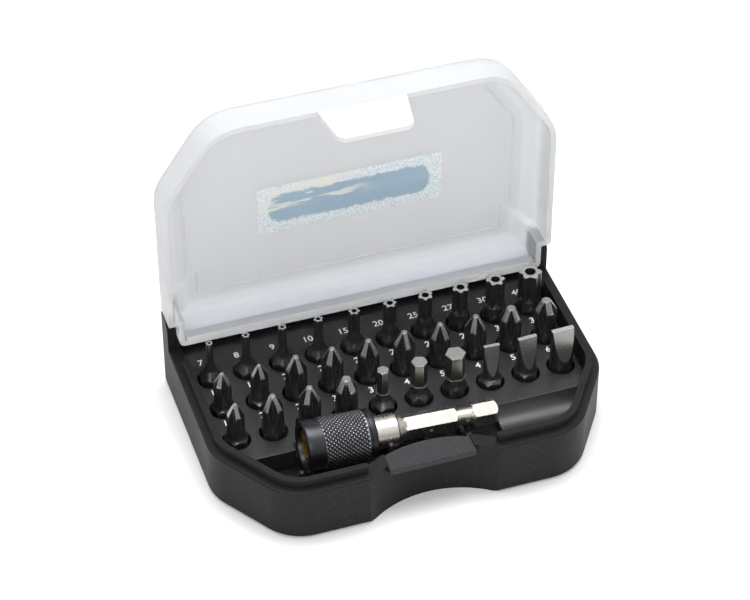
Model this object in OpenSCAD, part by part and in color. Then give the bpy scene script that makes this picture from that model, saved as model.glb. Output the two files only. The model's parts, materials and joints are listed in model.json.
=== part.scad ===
// Hinged pocket case with a clear lid, a rack of thirty insert bits and a quick-release bit holder.
// Millimetres. Origin at the centre of the underside, +X to the right, +Y to the hinge, +Z up.
// The lid stands open at a right angle, every bit is seated and the holder lies in its trench.

/* [Case] */
// Width of the case
case_w = 113; // [111:0.5:118]
// Depth of the case, front to back
case_d = 72.8; // [72:0.2:78]
// Height of the base up to the ledge that the lid sits on
base_h = 16.8; // [16:0.1:18]
// Thickness of the base floor
floor_t = 1.4; // [1:0.1:1.4]
// Width taken off each front corner
corner_x = 15.1; // [12:0.1:16]
// Length taken off each front corner
corner_y = 22.5; // [18:0.1:24]
// Radius that blends the cut corners
corner_r = 14; // [8:0.5:14]
// Width of the ledge under the lid's rim
ledge_w = 2.2; // [2.1:0.1:2.6]
// Thickness of the locating rib inside the ledge
rib_t = 1.7; // [1.2:0.1:1.8]
// Height of the locating rib above the ledge
rib_h = 2.7; // [1.5:0.1:3]
// Half width of the finger scoop in the front wall
scoop_half = 18.4; // [16:0.1:20]
// Depth of the finger scoop
scoop_depth = 6.4; // [5:0.1:6.6]

/* [Lid] */
// Height of the lid
lid_h = 13; // [12.5:0.1:15]
// Wall thickness of the lid
lid_wall = 1.6; // [1.2:0.1:1.6]
// How far the lid's edge rounding reaches in from its sides
lid_round_in = 7.4; // [5:0.1:8]
// How far the lid's edge rounding reaches down from its top
lid_round_down = 4.8; // [3:0.1:6]
// Opening angle of the lid in the stored model
lid_open = 90; // [0:5:90]
// Length of the latch tab below the lid's rim
tab_len = 13; // [9:0.5:13]
// Width of the latch tab at the rim
tab_w = 25; // [20:0.5:28]

/* [Hinge] */
// Distance of the hinge axis in front of the rear wall
hinge_in = 3.5; // [3.5:0.1:4]
// Height of the hinge axis above the ledge
hinge_up = 6.5; // [6.4:0.1:7]
// Thickness of each hinge ear
ear_t = 2.6; // [2.4:0.1:3]
// Radius of the hinge pins
pin_r = 1.5; // [1.2:0.1:1.8]
// Radial clearance of a running fit
fit_gap = 0.06; // [0.04:0.01:0.1]

/* [Rack] */
// Spacing of the bits along a row
pitch = 10.5; // [9.5:0.1:10.6]
// Spacing of the rows
row_pitch = 12.7; // [12:0.1:12.8]
// Distance of the rear row from the rear wall
rear_row_in = 17.9; // [17:0.1:19]
// Height of the rack's deck
deck_z = 13; // [11:0.5:14]
// Radius of each bit pocket
pocket_r = 4; // [3.9:0.05:4.2]

/* [Bits] */
// Length of every bit
bit_len = 25; // [24:0.5:25]
// Width across the flats of the hexagonal shanks
hex_af = 6.35; // [6.2:0.05:6.4]
// Length of a bit's hexagonal shank up to its corners
shank_len = 12.5; // [11:0.5:13]

/* [Holder] */
// Length of the bit holder
holder_len = 55.5; // [54:0.5:56]
// Radius of the sliding sleeve
sleeve_r = 7.2; // [7:0.1:7.4]
// Length of the sliding sleeve
sleeve_len = 19.7; // [19:0.1:20.5]
// Travel of the sliding sleeve
sleeve_travel = 2.5; // [2:0.5:2.5]
// Radius of the barrel
barrel_r = 4.65; // [4.5:0.05:4.8]
// Slope of the stored holder, shank end down
holder_tilt = 3.1; // [0:0.1:3.5]

/* [Hidden] */
e = 0.01;
half_w = case_w / 2;
half_d = case_d / 2;
gap = 0.3;
lid_gap = 0.1;
rear_r = 1.5;
small_r = 0.4;
arc_steps = 8;
hinge_y = half_d - hinge_in;
hinge_z = base_h + hinge_up;
rim_z = base_h + lid_gap;
lid_top = base_h + lid_h;
ear_r = 4;
ear_inner = half_w - ear_t;
lug_outer = ear_inner - gap;
tab_t = 1.4;
notch_y = hinge_y - ear_r - gap;
rear_wall_z = base_h - 1.3;
wall_t = ledge_w + rib_t;
scoop_r = (scoop_half * scoop_half + scoop_depth * scoop_depth) / (2 * scoop_depth);
scoop_y = -half_d + scoop_depth - scoop_r;
catch_half = 12.3;
catch_z = base_h - 0.8;
catch_y = -half_d + 2.2;
rib_end_x = 19.1;
rib_end_y = 21;
trench_y = half_d - rear_row_in - 2 * row_pitch - 9;
trench_z = 6;
trough_x = 24;
trough_y = -22.5;
trough_z = 9.5;
trough_r = 7;
peg_r = 0.8;
bit_z = floor_t + 0.1;
tip_angle = 26.5;
flute_run = 5.4;
flute_slope = 6.5;
corner_radius = hex_af / 2 / cos(30);
mouth = [-32.3, -19.2, 17];
socket_af = hex_af + 0.1;
groove_u = [43.9, 48.3];
core_start = 1;
hex_start = 28.9;
ball_u = 4.4;
ball_r = 1.2;
spring_from = 5.2;
spring_to = 13.8;
recess_r = 6.05;

BLACK = [0.13, 0.13, 0.14];
STEEL = [0.25, 0.25, 0.26];
NICKEL = [0.75, 0.73, 0.7];
CLEAR = [0.85, 0.87, 0.89, 0.5];

// Each bit: node name, kind, size, column from the left, row from the back.
// A star's or slot's size is its width; a cross's is its number; a hexagon's is across its flats.
BITS = [
    ["star_t7", "star", 1.99, 0, 0], ["star_t8", "star", 2.31, 1, 0],
    ["star_t9", "star", 2.5, 2, 0], ["star_t10", "star", 2.74, 3, 0],
    ["star_t15", "star", 3.27, 4, 0], ["star_t20", "star", 3.86, 5, 0],
    ["star_t25", "star", 4.43, 6, 0], ["star_t27", "star", 4.99, 7, 0],
    ["star_t30", "star", 5.52, 8, 0], ["star_t40", "star", 6.65, 9, 0],
    ["cross_ph1_first", "cross", 1, 0, 1], ["cross_ph1_second", "cross", 1, 1, 1],
    ["cross_ph2_first", "cross", 2, 2, 1], ["cross_ph2_second", "cross", 2, 3, 1],
    ["cross_ph2_third", "cross", 2, 4, 1], ["cross_ph2_fourth", "cross", 2, 5, 1],
    ["cross_ph2_fifth", "cross", 2, 6, 1], ["cross_ph2_sixth", "cross", 2, 7, 1],
    ["cross_ph3_first", "cross", 3, 8, 1], ["cross_ph3_second", "cross", 3, 9, 1],
    ["cross_pz1", "ribbed", 1, 0, 2], ["cross_pz2_first", "ribbed", 2, 1, 2],
    ["cross_pz2_second", "ribbed", 2, 2, 2], ["cross_pz3", "ribbed", 3, 3, 2],
    ["hex_3", "hex", 3, 4, 2], ["hex_4", "hex", 4, 5, 2], ["hex_5", "hex", 5, 6, 2],
    ["slot_4_5", "slot", 4.5, 7, 2], ["slot_5_5", "slot", 5.5, 8, 2], ["slot_6_5", "slot", 6.5, 9, 2]
];

// Each cradle under the holder: x and height of its top.
CRADLES = [[-30, 10.6], [-7.5, 12.4], [3, 12.4], [13.6, 12.8]];

// Each peg in front of the holder: x, the holder's half width there and height of its top.
PEGS = [[-34.4, 5.15, 14.4], [-8.9, barrel_r, 16.4], [3, hex_af / 2, 17], [13.6, hex_af / 2, 17.4]];

// ---- Outlines ----

// The case's corners, anticlockwise from the right rear: x, y and blend radius.
CORNERS = [
    [half_w, half_d, rear_r], [-half_w, half_d, rear_r],
    [-half_w, -half_d + corner_y, corner_r], [corner_x - half_w, -half_d, corner_r],
    [half_w - corner_x, -half_d, corner_r], [half_w, -half_d + corner_y, corner_r]
];

// The lid's corners are the same in front, and step in at the back to pass between the ears.
LID_CORNERS = concat(
    [[half_w, notch_y, small_r], [lug_outer, notch_y, small_r], [lug_outer, half_d, rear_r],
        [-lug_outer, half_d, rear_r], [-lug_outer, notch_y, small_r], [-half_w, notch_y, small_r]],
    [for (i = [2:5]) CORNERS[i]]
);

function unit(v) = v / norm(v);
function flat(v) = [v[0], v[1]];

// Arc of one corner b between its neighbours a and c, drawn in by a distance.
// A corner that points inwards turns the other way, and its arc is drawn backwards.
function corner_arc(a, b, c, inset) =
    let (
        u = unit(flat(a) - flat(b)),
        v = unit(flat(c) - flat(b)),
        turn = u[0] * v[1] - u[1] * v[0] < 0 ? 1 : -1,
        half = acos(u * v) / 2,
        r = turn > 0 ? max(b[2] - inset, small_r) : small_r,
        middle = flat(b) + unit(u + v) * (turn * inset + r) / sin(half),
        outward = -unit(u + v),
        mid_angle = atan2(outward[1], outward[0]),
        sweep = turn * (180 - 2 * half),
        steps = b[2] > 2 ? arc_steps : 2
    )
    [for (i = [0:steps])
        let (t = mid_angle - sweep / 2 + sweep * i / steps)
        middle + r * [cos(t), sin(t)]];

function rounded(corners, inset) = [
    for (i = [0:len(corners) - 1])
        each corner_arc(corners[(i + len(corners) - 1) % len(corners)], corners[i],
            corners[(i + 1) % len(corners)], inset)
];

module outline(inset) {
    polygon(rounded(CORNERS, inset));
}

module slice(z, inset) {
    translate([0, 0, z]) linear_extrude(e) outline(inset);
}

// ---- Base ----

module base_block() {
    intersection() {
        hull() {
            slice(0, 1.1);
            slice(0.4, 0.35);
            slice(1.2, 0);
            slice(base_h - 0.4 - e, 0);
            slice(base_h - e, 0.35);
        }
        translate([0, 0, -e]) linear_extrude(base_h + 2 * e) outline(-1);
    }
}

module locating_rib() {
    translate([0, 0, base_h - 1]) linear_extrude(rib_h + 1) difference() {
        outline(ledge_w);
        outline(wall_t);
        translate([-rib_end_x, -half_d - 1]) square([2 * rib_end_x, 20]);
        translate([-half_w, rib_end_y]) square([case_w, half_d]);
    }
    for (side = [-1, 1]) {
        translate([side * rib_end_x, -half_d + ledge_w + rib_t / 2, base_h - 1])
            cylinder(h = rib_h + 1, r = rib_t / 2, $fn = 24);
        translate([side * (half_w - ledge_w - rib_t / 2), rib_end_y, base_h - 1])
            cylinder(h = rib_h + 1, r = rib_t / 2, $fn = 24);
    }
}

module hinge_ears() {
    for (side = [-1, 1])
        difference() {
            intersection() {
                translate([side > 0 ? ear_inner : -half_w, 0, 0]) union() {
                    translate([0, hinge_y, hinge_z]) rotate([0, 90, 0]) cylinder(h = ear_t, r = ear_r, $fn = 64);
                    translate([0, hinge_y - ear_r, base_h - 3]) cube([ear_t, 2 * ear_r, hinge_up + 3]);
                }
                translate([0, 0, base_h - 3]) linear_extrude(20) outline(0);
            }
            translate([side * (ear_inner - 1), hinge_y, hinge_z]) rotate([0, side * 90, 0])
                cylinder(h = 2.6, r = pin_r + fit_gap, $fn = 48);
        }
}

module base_cavity() {
    translate([0, 0, floor_t]) linear_extrude(30) difference() {
        outline(wall_t);
        translate([0, scoop_y]) circle(r = scoop_r + wall_t, $fn = 180);
    }
}

module catch_shelf() {
    translate([-catch_half, catch_y, catch_z - 1.8]) cube([2 * catch_half, 5, 1.8]);
}

module underside_groove() {
    translate([0, 0, -1]) linear_extrude(1.6) difference() {
        outline(6);
        outline(7.2);
        translate([0, scoop_y]) circle(r = scoop_r + 6, $fn = 120);
    }
}

module base_shell() {
    color(BLACK) {
        difference() {
            union() {
                difference() {
                    base_block();
                    translate([0, scoop_y, -1]) cylinder(h = 40, r = scoop_r, $fn = 180);
                    translate([-catch_half, -half_d - 1, catch_z]) cube([2 * catch_half, 20, 5]);
                }
                locating_rib();
                catch_shelf();
            }
            base_cavity();
            translate([-ear_inner, rib_end_y + 4, rear_wall_z]) cube([2 * ear_inner, 30, 10]);
            underside_groove();
        }
        hinge_ears();
    }
}

// ---- Lid, drawn closed and then swung open ----

module swung_open() {
    translate([0, hinge_y, hinge_z]) rotate([-lid_open, 0, 0])
        translate([0, -hinge_y, -hinge_z]) children();
}

// Heights and insets of the lid's section, up its outside and down its inside.
function rounding(top, inset, round_in, round_down) = [
    for (a = [0:18:90]) [top - round_down * (1 - sin(a)), inset + round_in * (1 - cos(a))]
];
function reversed(list) = [for (i = [len(list) - 1:-1:0]) list[i]];

OUTSIDE = concat([[rim_z, 0]], rounding(lid_top, 0, lid_round_in, lid_round_down));
INSIDE = concat(
    reversed(rounding(lid_top - lid_wall, lid_wall, lid_round_in - 0.8, lid_round_down - 0.8)),
    [[rim_z, lid_wall]]
);

// The lid's flat of n corner points as convex faces: the front part, then strips between the lugs.
// The first 18 points are the six rear corners, three points each.
function flat_faces(n) = concat(
    [[0, 1, 2, 3, 14, 15, 16, each [17:n - 1]]],
    [for (k = [3:7]) [k, k + 1, 16 - k, 17 - k]]
);

// Shell of even thickness whose edge rounds over towards the top.
module lid_shell() {
    section = concat(OUTSIDE, INSIDE);
    rings = [for (s = section) [for (p = rounded(LID_CORNERS, s[1])) [p[0], p[1], s[0]]]];
    n = len(rings[0]);
    m = len(rings);
    cap = len(OUTSIDE);
    sides = [for (j = [0:m - 1], i = [0:n - 1]) if (j != cap - 1)
        let (k = (j + 1) % m, l = (i + 1) % n) [j * n + i, k * n + i, k * n + l, j * n + l]];
    outer = [for (f = flat_faces(n)) [for (i = reversed(f)) (cap - 1) * n + i]];
    inner = [for (f = flat_faces(n)) [for (i = f) cap * n + i]];
    polyhedron([for (r = rings) each r], concat(sides, outer, inner));
}

module latch_tab() {
    translate([0, -half_d + 0.1, 0]) {
        translate([0, tab_t, 0]) rotate([90, 0, 0]) linear_extrude(tab_t) polygon([
            [-tab_w / 2 - 0.8, rim_z + 5], [-tab_w / 2, rim_z], [-tab_w / 2 + 1.9, rim_z - tab_len + 1.5],
            [-tab_w / 2 + 3.6, rim_z - tab_len], [tab_w / 2 - 3.6, rim_z - tab_len],
            [tab_w / 2 - 1.9, rim_z - tab_len + 1.5], [tab_w / 2, rim_z], [tab_w / 2 + 0.8, rim_z + 5]
        ]);
        translate([-8, tab_t - 0.1, catch_z - 3.6]) rotate([90, 0, 90])
            linear_extrude(16) polygon([[0, 1.5], [0.65, 1.2], [0.65, 0.6], [0, 0]]);
    }
}

module lid_closed() {
    lid_shell();
    latch_tab();
    translate([-lug_outer + 2, half_d - 2.8, rim_z + 0.05]) cube([2 * lug_outer - 4, 2, 2.6]);
    for (side = [-1, 1])
        translate([side * (lug_outer - 1), hinge_y, hinge_z]) rotate([0, side * 90, 0])
            cylinder(h = 1 + gap + 1.4, r = pin_r, $fn = 48);
}

module lid() {
    color(CLEAR) swung_open() lid_closed();
}

module lid_label() {
    color([0.7, 0.78, 0.84]) swung_open()
        translate([-26.9, -4.4, lid_top - lid_wall - 0.12]) cube([53.8, 16.1, 0.12]);
}

// ---- Rack ----

module holder_place() {
    translate(mouth) rotate([0, 90 + holder_tilt, 0]) children();
}

module rack_outline() {
    difference() {
        outline(wall_t + 0.15);
        translate([0, scoop_y]) circle(r = scoop_r + wall_t + 0.15, $fn = 180);
    }
}

// Trench along the front, raised at its right end into a trough.
module trench() {
    difference() {
        translate([-half_w, -half_d - 1, trench_z]) cube([case_w, trench_y + half_d + 1, 20]);
        translate([trough_x, -half_d - 2, trench_z - 1])
            cube([half_w, trench_y + half_d + 4, deck_z - trench_z + 1]);
    }
    translate([trough_x - 1, trough_y, trough_z + trough_r]) rotate([0, 90, 0])
        cylinder(h = half_w, r = trough_r, $fn = 96);
}

// Room for the holder and for its sleeve drawn back.
module holder_room() {
    holder_place() {
        translate([0, 0, -0.5]) cylinder(h = sleeve_len + sleeve_travel + 0.8, r = sleeve_r + 0.15, $fn = 72);
        cylinder(h = holder_len, r = barrel_r + 0.15, $fn = 72);
    }
}

module cradle(x, top) {
    translate([x - 0.7, -half_d, trench_z - 1]) cube([1.4, half_d + trench_y + 1, top - trench_z + 1]);
}

// Round-topped peg in front of the holder.
module peg(x, y, top) {
    translate([x, y, trench_z - 1]) cylinder(h = top - trench_z + 0.6, r = peg_r, $fn = 24);
    translate([x, y, top - 0.4 - e]) cylinder(h = 0.4 + e, r1 = peg_r, r2 = peg_r - 0.35, $fn = 24);
}

module bit_rack() {
    color(BLACK) difference() {
        union() {
            difference() {
                translate([0, 0, floor_t + 0.05]) linear_extrude(deck_z - floor_t - 0.05) rack_outline();
                trench();
            }
            intersection() {
                for (c = CRADLES) cradle(c[0], c[1]);
                linear_extrude(deck_z) rack_outline();
            }
            for (p = PEGS) peg(p[0], mouth[1] - p[1] - peg_r - 0.25, p[2]);
        }
        intersection() {
            holder_room();
            translate([-half_w, -half_d, trench_z]) cube([case_w, half_d, 20]);
        }
        for (b = BITS)
            translate([bit_x(b), bit_y(b), -1]) cylinder(h = 30, r = pocket_r, $fn = 48);
    }
}

// ---- Bits ----

function bit_x(b) = (b[3] - 4.5) * pitch;
function bit_y(b) = half_d - rear_row_in - b[4] * row_pitch;
// Each bit stands at its own angle in its round pocket; the flat blades face the front.
function bit_turn(b) = b[1] == "slot" ? 4 * sin(b[3] * 97) : 30 + 26 * sin(b[3] * 97 + b[4] * 131);

module hexagon(af) {
    circle(r = af / 2 / cos(30), $fn = 6);
}

// Hexagonal shank, chamfered below, whose top is turned down to meet a neck of radius r.
module shank(r, neck_z) {
    reach = corner_radius + 0.1;
    intersection() {
        linear_extrude(neck_z) hexagon(hex_af);
        rotate_extrude($fn = 72) polygon([
            [0, 0], [reach - 0.8, 0], [reach, 0.8], [reach, shank_len - 0.1],
            [r + (reach - r) * 0.3, (shank_len + neck_z) / 2], [r, neck_z], [0, neck_z]
        ]);
    }
}

function star_points(width) = [
    for (t = [0:6:354]) width / 2 * (0.86 + 0.14 * cos(6 * t)) * [cos(t), sin(t)]
];

// Narrow stars rise from a longer cone than wide ones.
module star_bit(width) {
    neck = min(width / 2 * 1.04, hex_af / 2 - 0.05);
    neck_z = 18.6 - width / 2;
    difference() {
        union() {
            shank(neck, neck_z);
            translate([0, 0, neck_z - e]) cylinder(h = 1.6, r1 = neck, r2 = width * 0.34, $fn = 48);
            translate([0, 0, 14]) linear_extrude(bit_len - 14) polygon(star_points(width));
        }
        translate([0, 0, bit_len - 3]) cylinder(h = 4, r = width * 0.235, $fn = 32);
    }
}

// Tip radius, body radius and half the wing thickness of each cross size.
function cross_size(n) = n == 1 ? [0.55, 2.5, 0.38] : n == 2 ? [0.85, 3.1, 0.5] : [1.3, 3.15, 0.75];

module cross_envelope(tip, body) {
    cone = (body - tip) / tan(tip_angle);
    rotate_extrude($fn = 64) polygon([
        [0, 13], [body, 13], [body, bit_len - cone], [tip, bit_len - 0.15], [tip - 0.15, bit_len], [0, bit_len]
    ]);
}

// Square-cornered groove along a bit whose corner starts at one depth and leans outward by a slope.
module flute(depth, z, slope) {
    translate([depth, 0, z]) rotate([0, -slope, 0]) rotate(-45) translate([0, 0, -16]) cube([8, 8, 24]);
}

// Each flute leans out gently below the tip, then runs out of the body.
module cross_bit(n, ribbed) {
    size = cross_size(n);
    depth = size[2] * sqrt(2);
    bend_depth = depth + flute_run * tan(flute_slope);
    run_out = atan((size[1] + 0.12 - bend_depth) / flute_run);
    shank(size[1], 14.2);
    difference() {
        cross_envelope(size[0], size[1]);
        for (a = [45:90:315])
            rotate(a) intersection() {
                flute(depth, bit_len, flute_slope);
                flute(bend_depth, bit_len - flute_run, run_out);
            }
    }
    if (ribbed)
        intersection() {
            cross_envelope(size[0], size[1]);
            for (a = [45, 135])
                rotate(a) translate([-size[2] * 2.4, -0.18, 19]) cube([size[2] * 4.8, 0.36, 10]);
        }
}

module hex_bit(af) {
    tip_r = af / 2 / cos(30);
    shank(af / 2, 16.4);
    translate([0, 0, 16.4 - e]) cylinder(h = 0.7, r1 = af / 2, r2 = tip_r + 0.1, $fn = 48);
    intersection() {
        translate([0, 0, 16]) linear_extrude(bit_len - 16) hexagon(af);
        rotate_extrude($fn = 64) polygon([
            [0, 16], [tip_r + 0.1, 16], [tip_r + 0.1, bit_len - 0.25], [tip_r - 0.12, bit_len], [0, bit_len]
        ]);
    }
}

module slot_bit(width) {
    edge = 0.1 * width;
    slope = atan((width / 2 - edge) / 10.6);
    difference() {
        union() {
            shank(width / 2 - 0.1, 14.4);
            translate([0, 0, 13]) cylinder(h = bit_len - 13, r = width / 2, $fn = 64);
        }
        for (side = [0, 180])
            rotate(side) translate([-5, -edge, bit_len]) rotate([-slope, 0, 0])
                translate([0, -8, -11.6]) cube([10, 8, 16]);
    }
}

module bit(b) {
    color(STEEL) translate([bit_x(b), bit_y(b), bit_z]) rotate(bit_turn(b)) {
        if (b[1] == "star") star_bit(b[2]);
        if (b[1] == "cross") cross_bit(b[2], false);
        if (b[1] == "ribbed") cross_bit(b[2], true);
        if (b[1] == "hex") hex_bit(b[2]);
        if (b[1] == "slot") slot_bit(b[2]);
    }
}

// ---- Quick-release holder, drawn upwards from its mouth ----

module holder_hex(from, to) {
    intersection() {
        translate([0, 0, from]) linear_extrude(to - from) hexagon(hex_af);
        rotate_extrude($fn = 72) polygon([
            [0, from], [corner_radius - 0.5, from], [corner_radius + 0.05, from + 0.8],
            [corner_radius + 0.05, to - 0.8], [corner_radius - 0.5, to], [0, to]
        ]);
    }
}

module holder_body() {
    color(NICKEL) holder_place() difference() {
        union() {
            translate([0, 0, core_start]) cylinder(h = 26.2 - core_start, r = barrel_r, $fn = 72);
            translate([0, 0, 26.2 - e]) cylinder(h = 0.5, r1 = barrel_r, r2 = barrel_r - 0.4, $fn = 72);
            translate([0, 0, 26.7 - 2 * e]) cylinder(h = 2.4, r1 = barrel_r - 0.4, r2 = 3.3, $fn = 72);
            holder_hex(hex_start - 0.6, groove_u[0]);
            translate([0, 0, groove_u[0] - 1]) cylinder(h = groove_u[1] - groove_u[0] + 2, r = 2.4, $fn = 48);
            holder_hex(groove_u[1], holder_len);
        }
        translate([0, 0, core_start - 1]) linear_extrude(14 - core_start + 1) hexagon(socket_af);
        translate([0, 0, core_start - 1]) cylinder(h = 3, r = 4.1, $fn = 48);
        translate([0, 0, 13.9]) cylinder(h = 3.3, r = 3, $fn = 48);
        for (side = [0, 180])
            rotate(side) translate([0, 0, ball_u]) rotate([0, 90, 0]) cylinder(h = 6, r = ball_r + 0.05, $fn = 32);
    }
}

module holder_sleeve() {
    color([0.2, 0.2, 0.21]) holder_place() difference() {
        rotate_extrude($fn = 96) polygon([
            [0, 0], [sleeve_r - 0.5, 0], [sleeve_r, 0.5], [sleeve_r, sleeve_len - 0.5],
            [sleeve_r - 0.5, sleeve_len], [0, sleeve_len]
        ]);
        translate([0, 0, -1]) cylinder(h = sleeve_len + 2, r = barrel_r + fit_gap, $fn = 72);
        translate([0, 0, -1]) cylinder(h = 4, r = 5.7, $fn = 72);
        translate([0, 0, 5]) cylinder(h = 10, r = recess_r, $fn = 72);
    }
}

// Points of a closed ring of wire at one angle of the helix.
function coil_ring(t, turns, radius, wire, rise) =
    let (a = t * 360 * turns)
    [for (k = [0:45:315])
        [(radius + wire * cos(k)) * cos(a), (radius + wire * cos(k)) * sin(a), rise * t + wire * sin(k)]];

module coil(turns, radius, wire, rise, steps) {
    rings = [for (i = [0:steps]) each coil_ring(i / steps, turns, radius, wire, rise)];
    sides = [for (i = [0:steps - 1], k = [0:7])
        [i * 8 + k, i * 8 + (k + 1) % 8, (i + 1) * 8 + (k + 1) % 8, (i + 1) * 8 + k]];
    polyhedron(rings, concat([[for (k = [0:7]) 7 - k]], sides, [[for (k = [0:7]) steps * 8 + k]]));
}

module sleeve_spring() {
    color(NICKEL) holder_place() translate([0, 0, spring_from + 0.35])
        coil(5, 5.35, 0.33, spring_to - spring_from - 0.7, 90);
}

module spring_stop_ring() {
    color(STEEL) holder_place() translate([0, 0, spring_to + 0.1]) difference() {
        cylinder(h = 1, r = recess_r - 0.1, $fn = 72);
        translate([0, 0, -1]) cylinder(h = 3, r = barrel_r, $fn = 72);
    }
}

module locking_balls() {
    color(NICKEL) holder_place() for (side = [-1, 1])
        translate([side * (barrel_r - ball_r), 0, ball_u]) sphere(r = ball_r, $fn = 32);
}

module mouth_bush() {
    color([0.78, 0.58, 0.25]) holder_place() translate([0, 0, core_start + e]) difference() {
        cylinder(h = 2 - 2 * e, r = 4.1, $fn = 48);
        translate([0, 0, -1]) linear_extrude(4) hexagon(socket_af);
    }
}

module socket_magnet() {
    color(STEEL) holder_place() translate([0, 0, 14.1]) cylinder(h = 3, r = 2.9, $fn = 48);
}

base_shell();
bit_rack();
lid();
lid_label();
holder_body();
holder_sleeve();
sleeve_spring();
spring_stop_ring();
locking_balls();
mouth_bush();
socket_magnet();
for (b = BITS)
    bit(b);
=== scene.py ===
import json
import math

import bpy
import numpy as np
from mathutils import Matrix, Vector


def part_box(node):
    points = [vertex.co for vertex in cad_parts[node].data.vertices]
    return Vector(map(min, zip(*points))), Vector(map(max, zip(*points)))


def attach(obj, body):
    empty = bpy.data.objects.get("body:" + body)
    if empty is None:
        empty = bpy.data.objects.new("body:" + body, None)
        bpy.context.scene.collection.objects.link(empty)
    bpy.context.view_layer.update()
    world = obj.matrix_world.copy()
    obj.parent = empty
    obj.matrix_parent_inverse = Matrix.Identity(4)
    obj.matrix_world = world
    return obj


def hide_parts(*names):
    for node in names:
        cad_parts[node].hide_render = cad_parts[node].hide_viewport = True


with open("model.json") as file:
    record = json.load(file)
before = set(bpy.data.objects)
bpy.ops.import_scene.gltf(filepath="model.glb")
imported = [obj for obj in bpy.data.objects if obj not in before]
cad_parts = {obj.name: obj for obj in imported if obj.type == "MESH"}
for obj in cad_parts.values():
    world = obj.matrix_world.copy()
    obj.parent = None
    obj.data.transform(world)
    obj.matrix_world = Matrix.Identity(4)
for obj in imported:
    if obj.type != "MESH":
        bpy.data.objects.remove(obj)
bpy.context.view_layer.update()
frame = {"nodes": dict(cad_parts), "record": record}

MM = 0.001
nodes = frame["nodes"]
record = frame["record"]

# ---- Places taken from the frame, and the few sizes it doesn't give ----

STAR_NAMES = [n for n in nodes if n.startswith("star_")]
CROSS_NAMES = [n for n in nodes if n.startswith("cross_")]
HEX_NAMES = [n for n in nodes if n.startswith("hex_")]
SLOT_NAMES = [n for n in nodes if n.startswith("slot_")]


def middle(name):
    low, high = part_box(name)
    return (low + high) / 2


def mount(name):
    return next(m for m in record["mounts"] if m["name"] == name)


DECK_Z = 13.0 * MM
LID_DEPTH = 11.3 * MM
CATCH_HALF_W = 12.3 * MM
CATCH_Y = -25.0 * MM
CATCH_Z = 14.0 * MM
CONE_SLOPE = math.tan(math.radians(26.5))
TIP_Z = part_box("star_t7")[1].z
PANEL_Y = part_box("lid_label")[1].y
LID_FOOT_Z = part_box("lid")[0].z
RIM_Y = PANEL_Y - LID_DEPTH
FIRST_X = middle("star_t7").x
PITCH = (middle("star_t40").x - FIRST_X) / (len(STAR_NAMES) - 1)
BACK_ROW_Y = middle("star_t7").y
FRONT_ROW_Y = middle("hex_4").y
ROW_PITCH = (BACK_ROW_Y - FRONT_ROW_Y) / 2
MOUTH = Vector(mount("bit_socket")["pos_m"])
HOLDER_AXIS = Vector(mount("holder_shank")["axis"])

# ---- Shader building ----


def add(tree, kind, **settings):
    made = tree.nodes.new("ShaderNode" + kind)
    for name, value in settings.items():
        setattr(made, name, value)
    return made


def feed(tree, value, socket):
    if isinstance(value, bpy.types.NodeSocket):
        tree.links.new(value, socket)
    else:
        socket.default_value = value


def calc(tree, operation, *values):
    made = add(tree, "Math", operation=operation)
    for socket, value in zip(made.inputs, values):
        feed(tree, value, socket)
    return made.outputs[0]


def smoothstep(tree, value, low, high):
    made = add(tree, "MapRange", interpolation_type="SMOOTHSTEP")
    feed(tree, value, made.inputs["Value"])
    made.inputs["From Min"].default_value = low
    made.inputs["From Max"].default_value = high
    return made.outputs["Result"]


def remap(tree, value, low, high, to_low, to_high):
    made = add(tree, "MapRange")
    feed(tree, value, made.inputs["Value"])
    for name, number in (("From Min", low), ("From Max", high), ("To Min", to_low), ("To Max", to_high)):
        made.inputs[name].default_value = number
    return made.outputs["Result"]


def blend(tree, factor, first, second):
    made = add(tree, "Mix", data_type="RGBA")
    feed(tree, factor, made.inputs["Factor"])
    for name, value in (("A", first), ("B", second)):
        socket = next(s for s in made.inputs if s.name == name and s.type == "RGBA")
        feed(tree, value if isinstance(value, bpy.types.NodeSocket) else (*value, 1), socket)
    return next(s for s in made.outputs if s.type == "RGBA")


def position(tree):
    return add(tree, "TexCoord").outputs["Object"]


def axes_of(tree, vector):
    made = add(tree, "SeparateXYZ")
    tree.links.new(vector, made.inputs[0])
    return made.outputs


def noise(tree, vector, size, detail=4.0, roughness=0.55, stretch=None):
    if stretch:
        mapping = add(tree, "Mapping")
        tree.links.new(vector, mapping.inputs["Vector"])
        mapping.inputs["Scale"].default_value = stretch
        vector = mapping.outputs[0]
    made = add(tree, "TexNoise")
    tree.links.new(vector, made.inputs["Vector"])
    made.inputs["Scale"].default_value = 1 / size
    made.inputs["Detail"].default_value = detail
    made.inputs["Roughness"].default_value = roughness
    return made.outputs["Fac"]


def bump(tree, height, strength, distance, normal=None):
    made = add(tree, "Bump")
    tree.links.new(height, made.inputs["Height"])
    made.inputs["Strength"].default_value = strength
    made.inputs["Distance"].default_value = distance
    if normal:
        tree.links.new(normal, made.inputs["Normal"])
    return made.outputs[0]


def rounded_edges(tree, radius):
    made = add(tree, "Bevel", samples=4)
    made.inputs["Radius"].default_value = radius
    return made.outputs[0]


def edge_mask(tree, radius):
    """How much the rounded normal leaves the true one: high on the edges, where a finish wears and where a
    painted edge highlight goes.
    """
    true = add(tree, "NewGeometry").outputs["Normal"]
    made = add(tree, "VectorMath", operation="DOT_PRODUCT")
    tree.links.new(rounded_edges(tree, radius), made.inputs[0])
    tree.links.new(true, made.inputs[1])
    return remap(tree, made.outputs["Value"], 1.0, 0.8, 0.0, 1.0)


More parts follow.
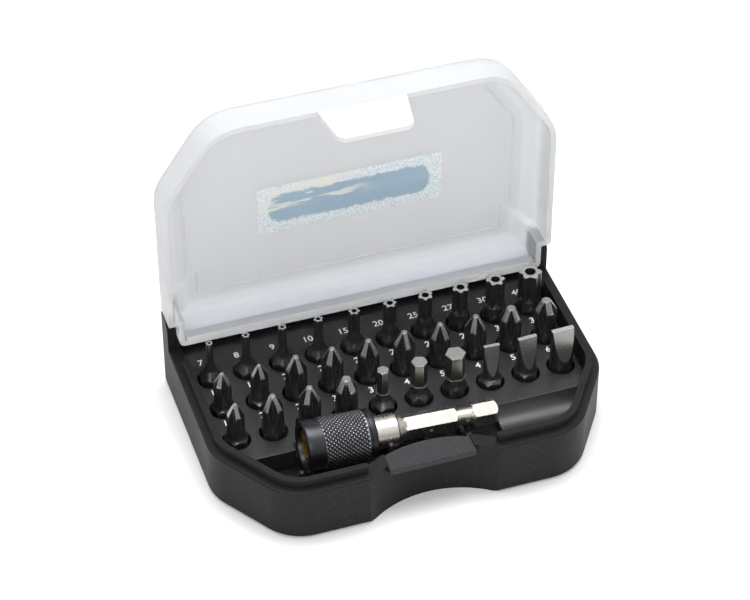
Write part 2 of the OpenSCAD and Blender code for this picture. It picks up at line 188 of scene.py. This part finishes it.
def surface(name, metallic=0.0, **constants):
    mat = bpy.data.materials.new(name)
    mat.use_nodes = True
    shader = mat.node_tree.nodes["Principled BSDF"]
    shader.inputs["Metallic"].default_value = metallic
    for socket, value in constants.items():
        shader.inputs[socket.replace("_", " ")].default_value = value
    return mat, mat.node_tree, shader


def finish_surface(tree, shader, colour, roughness, normal):
    tree.links.new(colour, shader.inputs["Base Color"])
    tree.links.new(roughness, shader.inputs["Roughness"])
    tree.links.new(normal, shader.inputs["Normal"])


# ---- Materials ----


def black_plastic(name, dark, light, grain, edge_radius, rough, shine, coarse=None):
    """Moulded black plastic: spark-eroded grain, faint flow clouds, a painted highlight on the edges and a
    coarser zone.
    """
    mat, tree, shader = surface(name, Specular_IOR_Level=shine)
    at = position(tree)
    clouds = noise(tree, at, 14 * MM, 3)
    grit = noise(tree, at, grain, 2, 0.6)
    colour = blend(tree, clouds, dark, light)
    speck = smoothstep(tree, grit, 0.5, 0.72)
    colour = blend(tree, calc(tree, "MULTIPLY", speck, 0.7), colour, (0.04, 0.04, 0.042))
    # Painted highlight: the edges are coloured lighter where light catches them.
    colour = blend(tree, calc(tree, "MULTIPLY", edge_mask(tree, edge_radius), 0.35), colour, (0.06, 0.06, 0.064))
    height = grit
    if coarse:
        zone = coarse(tree, at)
        pebble = noise(tree, at, 0.32 * MM, 2, 0.7)
        tone = blend(tree, smoothstep(tree, pebble, 0.42, 0.62), (0.022, 0.023, 0.025), (0.055, 0.057, 0.061))
        colour = blend(tree, zone, colour, tone)
        height = calc(tree, "ADD", grit, calc(tree, "MULTIPLY", calc(tree, "MULTIPLY", zone, pebble), 3.0))
    roughness = calc(tree, "ADD", remap(tree, grit, 0.3, 0.7, rough - 0.06, rough + 0.08),
                     remap(tree, clouds, 0.2, 0.8, -0.04, 0.04))
    normal = bump(tree, height, 0.8, 0.04 * MM, rounded_edges(tree, edge_radius))
    finish_surface(tree, shader, colour, roughness, normal)
    return mat


def catch_zone(tree, at):
    """One on the catch shelf in the front of the base."""
    x, y, z = axes_of(tree, at)
    inside = smoothstep(tree, calc(tree, "ABSOLUTE", x), CATCH_HALF_W + 0.02 * MM, CATCH_HALF_W - 0.02 * MM)
    front = smoothstep(tree, y, CATCH_Y + 0.1 * MM, CATCH_Y - 0.1 * MM)
    top = smoothstep(tree, z, CATCH_Z, CATCH_Z + 0.1 * MM)
    return calc(tree, "MULTIPLY", calc(tree, "MULTIPLY", inside, front), top)


def frosted_plastic(name="frosted_plastic", with_panel=True):
    """Milky polypropylene with fine frost and painted light: a panel greyer than the walls as painted shade, a
    painted bluish reflection low on the back wall and a painted cream highlight on the lid's edge faces; or one
    pale tone without a panel.
    """
    mat, tree, shader = surface(name, Transmission_Weight=0.6, IOR=1.2, Specular_IOR_Level=0.4)
    at = position(tree)
    frost = noise(tree, at, 0.35 * MM, 3)
    clouds = noise(tree, at, 30 * MM, 2, stretch=(1, 1, 0.4))
    _, depth, height = axes_of(tree, at)
    if not with_panel:
        colour = blend(tree, clouds, (0.93, 0.93, 0.93), (0.97, 0.97, 0.97))
    else:
        # Painted shade: the panel is coloured greyer than the walls, which stand paler as if lit from above.
        colour = blend(tree, clouds, (0.76, 0.775, 0.80), (0.83, 0.84, 0.85))
        panel = blend(tree, clouds, (0.66, 0.67, 0.69), (0.71, 0.72, 0.735))
        colour = blend(tree, smoothstep(tree, depth, PANEL_Y - 0.5 * MM, PANEL_Y), colour, panel)
        # Painted reflection: a bluish-grey tint low on the back wall, just behind the lid's edge.
        foot = smoothstep(tree, height, LID_FOOT_Z + 3.2 * MM, LID_FOOT_Z + 2.0 * MM)
        behind = smoothstep(tree, depth, RIM_Y + 1.2 * MM, RIM_Y + 2.4 * MM)
        rear_reflection = calc(tree, "MULTIPLY", foot, behind)
        colour = blend(tree, calc(tree, "MULTIPLY", rear_reflection, 0.7), colour, (0.66, 0.69, 0.75))
        # Painted highlight: the lid's edge faces are coloured a bright cream.
        rim_highlight = smoothstep(tree, depth, RIM_Y + 0.25 * MM, RIM_Y + 0.05 * MM)
        colour = blend(tree, rim_highlight, colour, (0.94, 0.935, 0.92))
    roughness = remap(tree, frost, 0.3, 0.7, 0.4, 0.54)
    normal = bump(tree, frost, 0.35, 0.02 * MM, rounded_edges(tree, 0.3 * MM))
    finish_surface(tree, shader, colour, roughness, normal)
    return mat


def label_print():
    """Pale sticker: a speckled foil ground, a soft blue bar with a round end and a few cream strokes."""
    mat, tree, shader = surface("label_print")
    at = position(tree)
    low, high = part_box("lid_label")
    half_w, half_h = (high.x - low.x) / 2, (high.z - low.z) / 2
    centre = (low + high) / 2
    x, _, z = axes_of(tree, at)
    across = calc(tree, "DIVIDE", calc(tree, "SUBTRACT", x, centre.x), half_w)
    up = calc(tree, "DIVIDE", calc(tree, "SUBTRACT", z, centre.z), half_h)
    wobble = noise(tree, at, 2.5 * MM, 4)
    speckle = noise(tree, at, 0.32 * MM, 2, 0.7)
    right = calc(tree, "MAXIMUM", calc(tree, "SUBTRACT", across, 0.72), 0.0)
    left = calc(tree, "MAXIMUM", calc(tree, "SUBTRACT", -0.74, across), 0.0)
    reach = calc(tree, "ADD", calc(tree, "MULTIPLY", right, 4.0), calc(tree, "MULTIPLY", left, 4.0))
    reach = calc(tree, "SQRT", calc(tree, "ADD", calc(tree, "POWER", reach, 2.0), calc(tree, "POWER", up, 2.0)))
    reach = calc(tree, "ADD", reach, remap(tree, wobble, 0.3, 0.7, -0.07, 0.07))
    bar = smoothstep(tree, reach, 0.66, 0.54)
    sparkle = smoothstep(tree, speckle, 0.5, 0.6)
    ground = blend(tree, sparkle, (0.93, 0.95, 0.95), (0.45, 0.62, 0.74))
    shade = noise(tree, at, 9 * MM, 2, stretch=(0.35, 1, 1))
    blue = blend(tree, shade, (0.30, 0.44, 0.56), (0.47, 0.60, 0.70))
    colour = blend(tree, bar, ground, blue)
    streak = noise(tree, at, 5 * MM, 3, stretch=(0.25, 1, 1.4))
    cream = calc(tree, "MULTIPLY", smoothstep(tree, streak, 0.56, 0.62), smoothstep(tree, across, 0.35, -0.1))
    colour = blend(tree, calc(tree, "MULTIPLY", cream, 0.85), colour, (0.86, 0.86, 0.80))
    roughness = remap(tree, speckle, 0.3, 0.7, 0.3, 0.55)
    finish_surface(tree, shader, colour, roughness, bump(tree, speckle, 0.2, 0.02 * MM))
    return mat


def wrapped(tree, value, first, step):
    """Distance from the nearest of a row of bit axes."""
    moved = calc(tree, "ADD", calc(tree, "SUBTRACT", value, first), step / 2)
    return calc(tree, "SUBTRACT", calc(tree, "WRAP", moved, step, 0.0), step / 2)


def bit_steel(name, bright_mask, brightness):
    """Dark phosphated steel, ground brighter where bright_mask says, with worn edges."""
    mat, tree, shader = surface(name, metallic=0.8)
    at = position(tree)
    x, y, z = axes_of(tree, at)
    lx = wrapped(tree, x, FIRST_X, PITCH)
    ly = wrapped(tree, y, FRONT_ROW_Y, ROW_PITCH)
    squares = [calc(tree, "MULTIPLY", side, side) for side in (lx, ly)]
    radial = calc(tree, "SQRT", calc(tree, "ADD", *squares))
    grit = noise(tree, at, 0.16 * MM, 3)
    patches = noise(tree, at, 2.2 * MM, 3)
    dark = blend(tree, patches, (0.045, 0.044, 0.042), (0.125, 0.122, 0.116))
    wear = calc(tree, "MULTIPLY", edge_mask(tree, 0.22 * MM), remap(tree, grit, 0.35, 0.65, 0.35, 0.9))
    colour = blend(tree, wear, dark, (0.5, 0.49, 0.47))
    bright = bright_mask(tree, radial, z)
    low = tuple(brightness * v for v in (0.84, 0.83, 0.8))
    high = tuple(brightness * v for v in (1.1, 1.09, 1.05))
    ground = blend(tree, noise(tree, at, 0.5 * MM, 2, stretch=(1, 6, 1)), low, high)
    colour = blend(tree, bright, colour, ground)
    base_rough = remap(tree, grit, 0.3, 0.7, 0.22, 0.36)
    roughness = calc(tree, "SUBTRACT", base_rough, calc(tree, "MULTIPLY", bright, 0.04))
    normal = bump(tree, grit, 0.35, 0.02 * MM, rounded_edges(tree, 0.12 * MM))
    finish_surface(tree, shader, colour, roughness, normal)
    return mat


def tip_face(tree, radial, z):
    """One on the flat end of a bit."""
    return smoothstep(tree, z, TIP_Z - 0.12 * MM, TIP_Z - 0.04 * MM)


def cross_crest(tip, reach):
    """Bright wing crests on the cone of a cross tip with that tip radius and cone length, in metres."""

    def mask(tree, radial, z):
        depth = calc(tree, "SUBTRACT", TIP_Z, z)
        cone = calc(tree, "ADD", calc(tree, "MULTIPLY", depth, CONE_SLOPE), tip)
        skin = smoothstep(tree, calc(tree, "SUBTRACT", radial, cone), -0.22 * MM, -0.08 * MM)
        on_cone = smoothstep(tree, depth, reach, reach * 0.9)
        return calc(tree, "MAXIMUM", calc(tree, "MULTIPLY", skin, on_cone), tip_face(tree, radial, z))

    return mask


def blade_flat(width):
    """Ground flats of a slotted blade of that width in metres, inside its round flanks."""

    def mask(tree, radial, z):
        flat = smoothstep(tree, radial, width / 2 - 0.05 * MM, width / 2 - 0.16 * MM)
        above = smoothstep(tree, z, DECK_Z + 2.2 * MM, DECK_Z + 2.6 * MM)
        shade = calc(tree, "MULTIPLY", calc(tree, "MULTIPLY", flat, above), 0.55)
        return calc(tree, "MAXIMUM", shade, tip_face(tree, radial, z))

    return mask


def nickel():
    """Satin nickel with fine turning rings and a warm cast."""
    mat, tree, shader = surface("satin_nickel", metallic=1.0)
    at = position(tree)
    rings = noise(tree, at, 0.22 * MM, 3, stretch=(1, 0.06, 0.06))
    patches = noise(tree, at, 4 * MM, 3)
    colour = blend(tree, patches, (0.60, 0.565, 0.51), (0.74, 0.705, 0.65))
    colour = blend(tree, calc(tree, "MULTIPLY", edge_mask(tree, 0.2 * MM), 0.5), colour, (0.9, 0.88, 0.85))
    roughness = remap(tree, rings, 0.3, 0.7, 0.22, 0.4)
    normal = bump(tree, rings, 0.15, 0.012 * MM, rounded_edges(tree, 0.15 * MM))
    finish_surface(tree, shader, colour, roughness, normal)
    return mat


def black_oxide():
    """Gun-black steel whose knurl is worn grey on its peaks."""
    mat, tree, shader = surface("black_oxide", metallic=0.9)
    at = position(tree)
    grit = noise(tree, at, 0.12 * MM, 3)
    patches = noise(tree, at, 3 * MM, 3)
    peak = add(tree, "Attribute", attribute_name="peak").outputs["Fac"]
    colour = blend(tree, patches, (0.03, 0.031, 0.034), (0.06, 0.061, 0.066))
    worn = calc(tree, "MULTIPLY", smoothstep(tree, peak, 0.72, 1.0), remap(tree, patches, 0.3, 0.7, 0.45, 1.0))
    colour = blend(tree, worn, colour, (0.42, 0.425, 0.44))
    roughness = remap(tree, grit, 0.3, 0.7, 0.26, 0.42)
    finish_surface(tree, shader, colour, roughness, bump(tree, grit, 0.25, 0.012 * MM))
    return mat


def plain_metal(name, dark, light, low, high):
    """Plain metal between two tones, with its roughness from low to high."""
    mat, tree, shader = surface(name, metallic=1.0)
    at = position(tree)
    grit = noise(tree, at, 0.2 * MM, 3)
    colour = blend(tree, noise(tree, at, 1.5 * MM, 2), dark, light)
    roughness = remap(tree, grit, 0.3, 0.7, low, high)
    normal = bump(tree, grit, 0.2, 0.01 * MM, rounded_edges(tree, 0.1 * MM))
    finish_surface(tree, shader, colour, roughness, normal)
    return mat


def print_white():
    """White pad print, slightly thin in places."""
    mat, tree, shader = surface("print_white")
    at = position(tree)
    thin = noise(tree, at, 0.25 * MM, 2)
    colour = blend(tree, thin, (0.72, 0.72, 0.72), (0.95, 0.95, 0.95))
    finish_surface(tree, shader, colour, remap(tree, thin, 0.3, 0.7, 0.4, 0.6), bump(tree, thin, 0.2, 0.01 * MM))
    return mat


# ---- CAD nodes: finishes and shading ----


SAME_PLANE = 0.02 * MM
SAME_POINT = 0.002 * MM


def give(name, mat):
    data = nodes[name].data
    data.materials.clear()
    data.materials.append(mat)


def read_array(items, field, kind, size=1):
    values = np.zeros(len(items) * size, kind)
    items.foreach_get(field, values)
    return values.reshape(-1, size) if size > 1 else values


def plane_weights(mesh, normals):
    """Each face's weight: the whole area of the flat it belongs to, so that broad flats stay flat."""
    centres = read_array(mesh.polygons, "center", np.float32, 3)
    offset = np.sum(centres * normals, axis=1) / SAME_PLANE
    keys = np.round(np.column_stack([normals * 100, offset])).astype(np.int64)
    _, group = np.unique(keys, axis=0, return_inverse=True)
    group = group.reshape(-1)
    total = np.bincount(group, weights=read_array(mesh.polygons, "area", np.float32))
    return total[group] ** 2


def smooth(name, angle=32.0):
    """Averages the normals of faces that meet at less than the angle, without moving any vertex."""
    mesh = nodes[name].data
    normals = read_array(mesh.polygons, "normal", np.float32, 3)
    weights = plane_weights(mesh, normals)
    places = np.round(read_array(mesh.vertices, "co", np.float32, 3) / SAME_POINT).astype(np.int64)
    _, place = np.unique(places, axis=0, return_inverse=True)
    sizes = read_array(mesh.polygons, "loop_total", np.int32)
    face = np.repeat(np.arange(len(sizes)), sizes)
    at = place.reshape(-1)[read_array(mesh.loops, "vertex_index", np.int32)]
    order = np.argsort(at, kind="stable")
    starts = np.flatnonzero(np.r_[True, at[order][1:] != at[order][:-1]])
    limit = math.cos(math.radians(angle))
    corners = normals[face].copy()
    for start, end in zip(starts, np.r_[starts[1:], len(at)]):
        members = order[start:end]
        own = normals[face[members]]
        near = (own @ own.T) > limit
        summed = (near * weights[face[members]]) @ own
        length = np.linalg.norm(summed, axis=1, keepdims=True)
        corners[members] = np.where(length > 1e-30, summed / np.maximum(length, 1e-30), own)
    mesh.polygons.foreach_set("use_smooth", np.ones(len(mesh.polygons), bool))
    mesh.normals_split_custom_set(corners.tolist())


# ---- Extra pieces ----


def piece(name, mesh, mat, body):
    made = bpy.data.objects.new(name, mesh)
    bpy.context.scene.collection.objects.link(made)
    mesh.materials.clear()
    mesh.materials.append(mat)
    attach(made, body)
    return made


def holder_matrix():
    """Turns a shape drawn up +Z from its mouth into the holder's place."""
    turn = Vector((0, 0, 1)).rotation_difference(HOLDER_AXIS)
    return Matrix.Translation(MOUTH) @ turn.to_matrix().to_4x4()


# The sleeve is drawn in millimetres, up +Z from its mouth.
SLEEVE_R = 7.2
SLEEVE_LEN = 19.7
BORE_R = 4.71
MOUTH_R = 5.7
RECESS_R = 6.05
SLEEVE_STEPS = 324
KNURL_ROWS = 110
KNURL_FROM, KNURL_TO = 5.0, 17.2
KNURL_STARTS = 36
KNURL_PITCH = 1.3
KNURL_DEPTH = 0.34


def knurl(angle, along):
    """Height of the diamond knurl, from 0 in the cuts to 1 on the peaks."""
    if not KNURL_FROM < along < KNURL_TO:
        return 1.0
    turn = KNURL_STARTS * angle / (2 * math.pi)
    cuts = []
    for lean in (1, -1):
        phase = turn + lean * along / KNURL_PITCH
        cuts.append(abs(2 * (phase - math.floor(phase)) - 1))
    fade = min(1.0, (along - KNURL_FROM) / 0.3, (KNURL_TO - along) / 0.3)
    height = min(1.0, 1.5 * min(1 - cuts[0], 1 - cuts[1]))
    return 1 - fade * (1 - height)


def sleeve_section():
    """Section of the sleeve as (distance along, radius), anticlockwise from the mouth's outside."""
    chamfer = [(0.0, SLEEVE_R - 0.55), (0.08, SLEEVE_R - 0.3), (0.28, SLEEVE_R - 0.08), (0.55, SLEEVE_R)]
    plain = [(2.0, SLEEVE_R), (4.6, SLEEVE_R)]
    knurled = [(KNURL_FROM + (KNURL_TO - KNURL_FROM) * i / KNURL_ROWS, SLEEVE_R) for i in range(KNURL_ROWS + 1)]
    tail = [(17.5, SLEEVE_R), (17.62, SLEEVE_R - 0.22), (17.9, SLEEVE_R - 0.22), (18.02, SLEEVE_R),
            (19.2, SLEEVE_R), (19.45, SLEEVE_R - 0.08), (19.65, SLEEVE_R - 0.32), (SLEEVE_LEN, SLEEVE_R - 0.55)]
    bore = [(SLEEVE_LEN, 4.9), (19.5, BORE_R), (15.0, BORE_R), (15.0, RECESS_R), (5.0, RECESS_R), (5.0, BORE_R),
            (3.0, BORE_R), (3.0, MOUTH_R), (0.3, MOUTH_R), (0.0, 6.0)]
    return chamfer + plain + knurled + tail + bore


def knurled_sleeve(mat):
    """The sleeve with its knurl cut in, in place of the smooth CAD one."""
    section = sleeve_section()
    around = SLEEVE_STEPS
    points, peaks, faces = [], [], []
    for along, radius in section:
        outside = radius == SLEEVE_R and KNURL_FROM <= along <= KNURL_TO
        for k in range(around):
            angle = 2 * math.pi * k / around
            height = knurl(angle, along) if outside else 1.0
            r = radius - KNURL_DEPTH * (1 - height)
            points.append((r * math.cos(angle) * MM, r * math.sin(angle) * MM, along * MM))
            peaks.append(height if outside else 0.0)
    rings = len(section)
    for j in range(rings):
        for k in range(around):
            a, b = j * around, ((j + 1) % rings) * around
            m = (k + 1) % around
            faces.append((a + k, a + m, b + m, b + k))
    mesh = bpy.data.meshes.new("knurled_sleeve")
    mesh.from_pydata(points, [], faces)
    mesh.transform(holder_matrix())
    mesh.update()
    mesh.polygons.foreach_set("use_smooth", np.ones(len(mesh.polygons), bool))
    attribute = mesh.attributes.new("peak", "FLOAT", "POINT")
    attribute.data.foreach_set("value", peaks)
    mesh.set_sharp_from_angle(angle=math.radians(50))
    made = piece("knurled_sleeve", mesh, mat, "sleeve")
    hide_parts("holder_sleeve")
    return made


NUMBER_SIZE = 3.1 * MM


def printed_number(text, name, x, y, mat):
    """Raised print on the deck."""
    curve = bpy.data.curves.new(name, "FONT")
    curve.body = text
    curve.size = NUMBER_SIZE
    curve.align_x = "CENTER"
    curve.align_y = "CENTER"
    curve.extrude = 0.015 * MM
    curve.resolution_u = 3
    curve.offset = 0.02 * MM
    maker = bpy.data.objects.new(name + "_maker", curve)
    bpy.context.scene.collection.objects.link(maker)
    bpy.context.view_layer.update()
    mesh = bpy.data.meshes.new_from_object(maker.evaluated_get(bpy.context.evaluated_depsgraph_get()))
    bpy.data.objects.remove(maker)
    mesh.transform(Matrix.Translation((x, y, DECK_Z + 0.012 * MM)))
    return piece(name, mesh, mat, "case_base")


def panel_line(mat):
    """Fine raised line where the lid's panel meets its rounded walls."""
    corners = {}
    for vertex in nodes["lid"].data.vertices:
        if abs(vertex.co.y - PANEL_Y) < 0.02 * MM:
            corners[(round(vertex.co.x * 2e4), round(vertex.co.z * 2e4))] = vertex.co.copy()
    loop = list(corners.values())
    centre = sum(loop, Vector()) / len(loop)
    loop.sort(key=lambda c: math.atan2(c.z - centre.z, c.x - centre.x))
    half, rise = 0.32 * MM, 0.3 * MM
    section = [(-1.0, 0.02), (-0.8, -0.55), (-0.3, -0.95), (0.3, -0.95), (0.8, -0.55), (1.0, 0.02)]
    points, faces = [], []
    for k, c in enumerate(loop):
        along = (loop[(k + 1) % len(loop)] - loop[k - 1]).normalized()
        side = Vector((-along.z, 0, along.x))
        points += [c + side * (half * (u + 1)) + Vector((0, rise * v, 0)) for u, v in section]
    count, size = len(loop), len(section)
    for k in range(count):
        for i in range(size - 1):
            a, b = k * size + i, ((k + 1) % count) * size + i
            faces.append((a, b, b + 1, a + 1))
    mesh = bpy.data.meshes.new("panel_line")
    mesh.from_pydata(points, [], faces)
    mesh.update()
    return piece("panel_line", mesh, mat, "lid")


# ---- Build ----

case_black = black_plastic(
    "case_plastic", dark=(0.006, 0.006, 0.0065), light=(0.010, 0.010, 0.011),
    grain=0.3 * MM, edge_radius=0.3 * MM, rough=0.5, shine=0.16, coarse=catch_zone)
rack_black = black_plastic(
    "rack_plastic", dark=(0.012, 0.012, 0.013), light=(0.019, 0.019, 0.021),
    grain=0.45 * MM, edge_radius=0.5 * MM, rough=0.34, shine=0.5)
give("base_shell", case_black)
give("bit_rack", rack_black)
give("lid", frosted_plastic())
give("lid_label", label_print())
give("holder_body", nickel())
spring = plain_metal("spring_steel", (0.45, 0.45, 0.44), (0.62, 0.61, 0.59), 0.2, 0.35)
for inner in ("sleeve_spring", "spring_stop_ring", "locking_balls", "socket_magnet"):
    give(inner, spring)
give("mouth_bush", plain_metal("brass", (0.62, 0.42, 0.14), (0.8, 0.58, 0.24), 0.18, 0.34))

star_mat = bit_steel("bit_steel_star", tip_face, 0.6)
plain_mat = bit_steel("bit_steel_plain", tip_face, 0.42)
for bit_name in STAR_NAMES:
    give(bit_name, star_mat)
for bit_name in HEX_NAMES:
    give(bit_name, plain_mat)
for bit_name in SLOT_NAMES:
    blade_w = float(bit_name.removeprefix("slot_").replace("_", ".")) * MM
    give(bit_name, bit_steel("bit_steel_" + bit_name, blade_flat(blade_w), 0.5))
# Tip radius and cone length of each cross size, in millimetres.
CROSS = {"1": (0.55, 3.9), "2": (0.85, 4.5), "3": (1.3, 3.7)}
cross_mats = {
    number: bit_steel("bit_steel_cross_" + number, cross_crest(tip * MM, reach * MM), 0.36)
    for number, (tip, reach) in CROSS.items()
}
for bit_name in CROSS_NAMES:
    number = next(c for c in bit_name if c.isdigit())
    give(bit_name, cross_mats[number])

for shown in nodes:
    smooth(shown)
panel_line(frosted_plastic("frosted_line", False))

knurled_sleeve(black_oxide())

white = print_white()
# One size numeral behind each bit, row by row from the back.
ROW_MARKS = (
    ("7", "8", "9", "10", "15", "20", "25", "27", "30", "40"),
    ("1", "1", "2", "2", "2", "2", "2", "2", "3", "3"),
    ("1", "2", "2", "3", "3", "4", "5", "4", "5", "6"),
)
for row, marks in enumerate(ROW_MARKS):
    for column, mark in enumerate(marks):
        mark_x = FIRST_X + column * PITCH - 1.1 * MM
        mark_y = BACK_ROW_Y - row * ROW_PITCH + 6.9 * MM
        printed_number(mark, f"print_{row}_{column}", mark_x, mark_y, white)

# ---- Floor, light and camera ----


def stage_floor():
    """Plain pale floor, well past the picture's edges."""
    mesh = bpy.data.meshes.new("floor")
    reach = 3.0
    corners = [(-reach, -reach, 0), (reach, -reach, 0), (reach, reach, 0), (-reach, reach, 0)]
    mesh.from_pydata(corners, [], [(0, 1, 2, 3)])
    floor = bpy.data.objects.new("floor", mesh)
    bpy.context.scene.collection.objects.link(floor)
    mat, tree, shader = surface("floor_white")
    shader.inputs["Base Color"].default_value = (0.9, 0.9, 0.9, 1)
    shader.inputs["Roughness"].default_value = 0.8
    mesh.materials.append(mat)


def area_light(name, place, target, size, power):
    data = bpy.data.lights.new(name, "AREA")
    data.shape = "RECTANGLE"
    data.size, data.size_y = size
    data.energy = power
    made = bpy.data.objects.new(name, data)
    made.location = place
    made.rotation_mode = "QUATERNION"
    made.rotation_quaternion = (Vector(target) - Vector(place)).to_track_quat("-Z", "Y")
    bpy.context.scene.collection.objects.link(made)


def studio():
    """Bright overhead, dimmer towards the horizon, with two soft lamps."""
    world = bpy.data.worlds.new("studio")
    world.use_nodes = True
    tree = world.node_tree
    _, _, up = axes_of(tree, add(tree, "TexCoord").outputs["Generated"])
    sky = smoothstep(tree, up, -0.1, 0.85)
    tree.links.new(remap(tree, sky, 0.0, 1.0, 0.22, 0.95), tree.nodes["Background"].inputs["Strength"])
    tree.nodes["Background"].inputs["Color"].default_value = (1, 1, 1, 1)
    bpy.context.scene.world = world
    area_light("top_soft", (0.05, 0.12, 0.75), (0, 0, 0), (0.6, 0.4), 5.0)
    area_light("front_soft", (-0.3, -0.7, 0.65), (0, 0, 0.04), (0.45, 0.3), 2.2)
    bpy.context.scene.view_settings.view_transform = "Standard"


def camera():
    """Long lens at the photograph's angle."""
    azimuth, elevation = math.radians(-18.4), math.radians(41.95)
    aim = Vector((1.2, 19.4, 27.9)) * MM
    distance = 0.782
    level = Vector((math.sin(azimuth), -math.cos(azimuth), 0))
    back = level * math.cos(elevation) + Vector((0, 0, math.sin(elevation)))
    data = bpy.data.cameras.new("camera")
    data.sensor_width = 36
    data.lens = 134.4
    made = bpy.data.objects.new("camera", data)
    made.location = aim + back * distance
    made.rotation_mode = "QUATERNION"
    made.rotation_quaternion = (-back).to_track_quat("-Z", "Y")
    bpy.context.scene.collection.objects.link(made)
    bpy.context.scene.camera = made


stage_floor()
studio()
camera()
